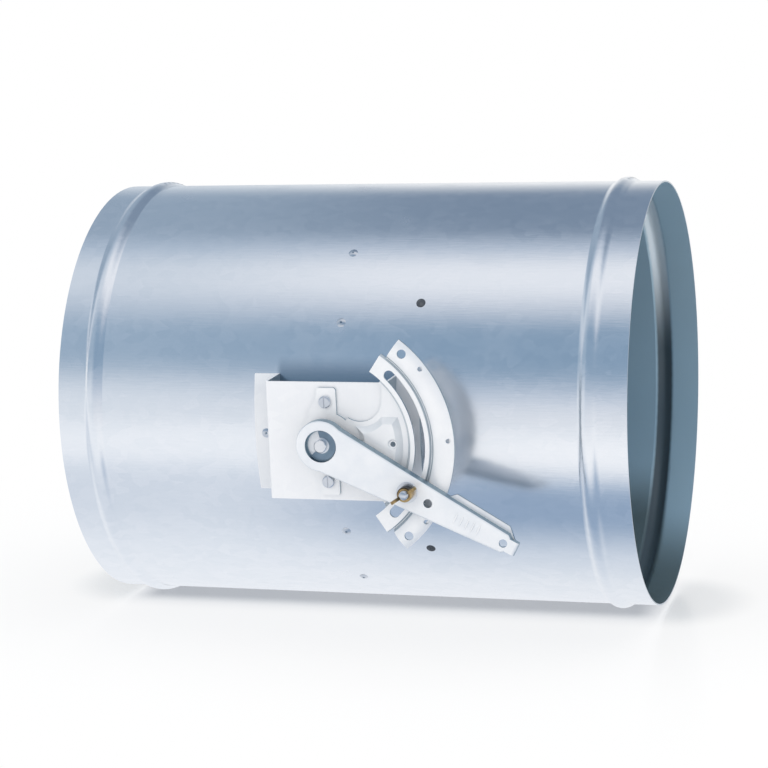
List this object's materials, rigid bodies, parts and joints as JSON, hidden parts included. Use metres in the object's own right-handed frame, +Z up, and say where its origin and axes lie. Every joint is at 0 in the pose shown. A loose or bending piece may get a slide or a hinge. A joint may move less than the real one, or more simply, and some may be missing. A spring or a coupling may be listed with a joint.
{
  "type": "volume control damper",
  "caption": "Round duct section with a pivoting disc blade inside, set by an outside lever that a wing nut clamps on a slotted quadrant.",
  "frame": {"origin": "centre of the inlet end of the round duct section", "axes": "+X along the duct from inlet to outlet, +Z up, blade shaft along Y with the control lever on the -Y side"},
  "size_m": [0.4, 0.3559, 0.3058],
  "materials": {
    "galvanised_sheet": "hot-dip galvanised, satin with faint spangle",
    "zinc_plate": "bright zinc plated pressed steel",
    "bright_steel": "drawn steel bar",
    "blued_spring_steel": "blued spring steel",
    "fastener_steel": "zinc plated fasteners",
    "brass": "turned brass",
    "nylon": "natural moulded nylon",
    "dark_rubber": "dark moulded rubber"
  },
  "bodies": {
    "casing": {"casing_shell": "galvanised_sheet", "stand_off_bracket": "galvanised_sheet", "bracket_rivets": "fastener_steel", "quadrant_plate": "zinc_plate", "quadrant_screws": "fastener_steel", "quadrant_nuts": "fastener_steel", "bracket_bush": "nylon", "front_bush": "nylon", "rear_bush": "nylon", "rear_cap": "nylon", "upper_blade_stop": "galvanised_sheet", "lower_blade_stop": "galvanised_sheet", "stop_rivets": "fastener_steel", "casing_plugs": "dark_rubber"},
    "blade_set": {"shaft": "bright_steel", "blade_disc": "galvanised_sheet", "blade_saddles": "zinc_plate", "blade_bolts": "fastener_steel", "blade_nuts": "fastener_steel", "control_lever": "zinc_plate", "shaft_collar": "bright_steel", "shaft_clip": "blued_spring_steel", "lock_bolt": "fastener_steel"},
    "nut_carrier": {"lock_washer": "fastener_steel"},
    "nut": {"wing_nut": "brass"}
  },
  "joints": [
    {"name": "blade_turn", "type": "hinge", "parent": "casing", "child": "blade_set", "pos_m": [0.203, 0, 0], "axis": [0, -1, 0], "range_deg": [-18, 72]},
    {"name": "nut_back_off", "type": "slide", "parent": "blade_set", "child": "nut_carrier", "axis": [0, -1, 0], "range_m": [0, 0.0015]},
    {"name": "wing_nut_spin", "type": "hinge", "parent": "nut_carrier", "child": "nut", "pos_m": [0.26092, -0.1892, -0.02951], "axis": [0, -1, 0], "range_deg": [0, 541]}
  ],
  "couplings": [
    {"joint": "wing_nut_spin", "follows": "nut_back_off", "rad_per_m": 6283.2}
  ]
}
